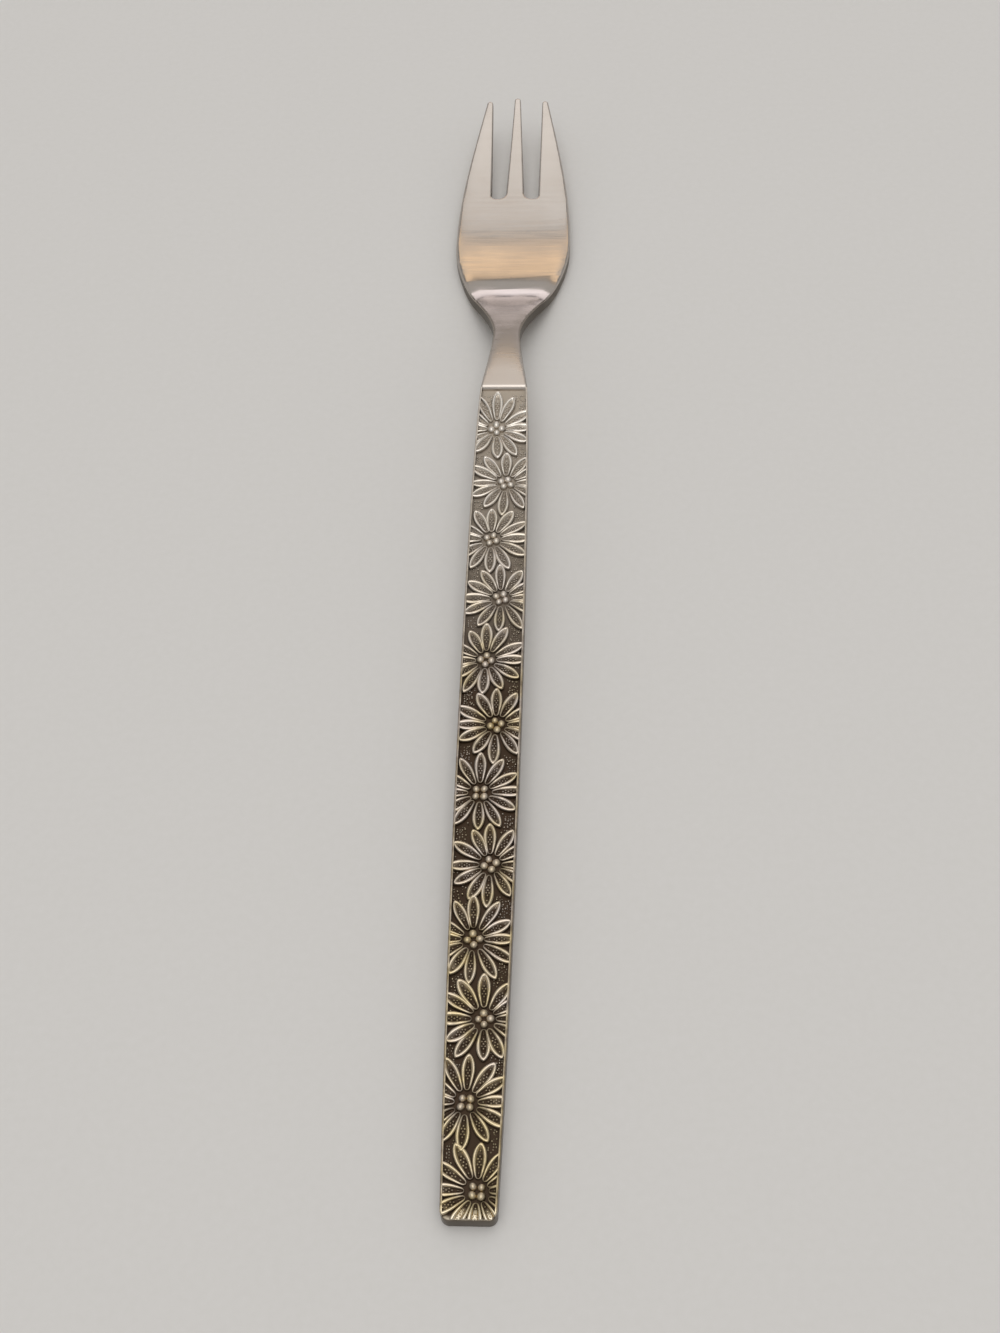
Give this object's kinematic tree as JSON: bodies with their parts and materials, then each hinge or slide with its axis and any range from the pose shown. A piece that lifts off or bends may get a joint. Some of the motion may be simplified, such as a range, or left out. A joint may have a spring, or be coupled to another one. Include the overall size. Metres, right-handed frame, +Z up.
{
  "type": "oyster fork",
  "caption": "Slim seafood fork with a tapered tined head, a bent shoulder and a long bar handle whose sunk panel carries a raised daisy chain.",
  "frame": {"origin": "middle of the fork's footprint, on the table it lies on", "axes": "+Y along the fork towards the tines, +X to the right seen from above, +Z up from the table"},
  "size_m": [0.0146, 0.152, 0.0063],
  "materials": {
    "polished_stainless": "polished, with fine wear scratches",
    "toned_stainless": "darkened in the sunk ground, bright on the plain back and sides",
    "worn_relief": "raised relief worn bright on its rims"
  },
  "bodies": {
    "root": {"fork_head": "polished_stainless", "handle_bar": "toned_stainless", "daisy_01": "worn_relief", "daisy_02": "worn_relief", "daisy_03": "worn_relief", "daisy_04": "worn_relief", "daisy_05": "worn_relief", "daisy_06": "worn_relief", "daisy_07": "worn_relief", "daisy_08": "worn_relief", "daisy_09": "worn_relief", "daisy_10": "worn_relief", "daisy_11": "worn_relief", "daisy_12": "worn_relief"}
  },
  "joints": []
}
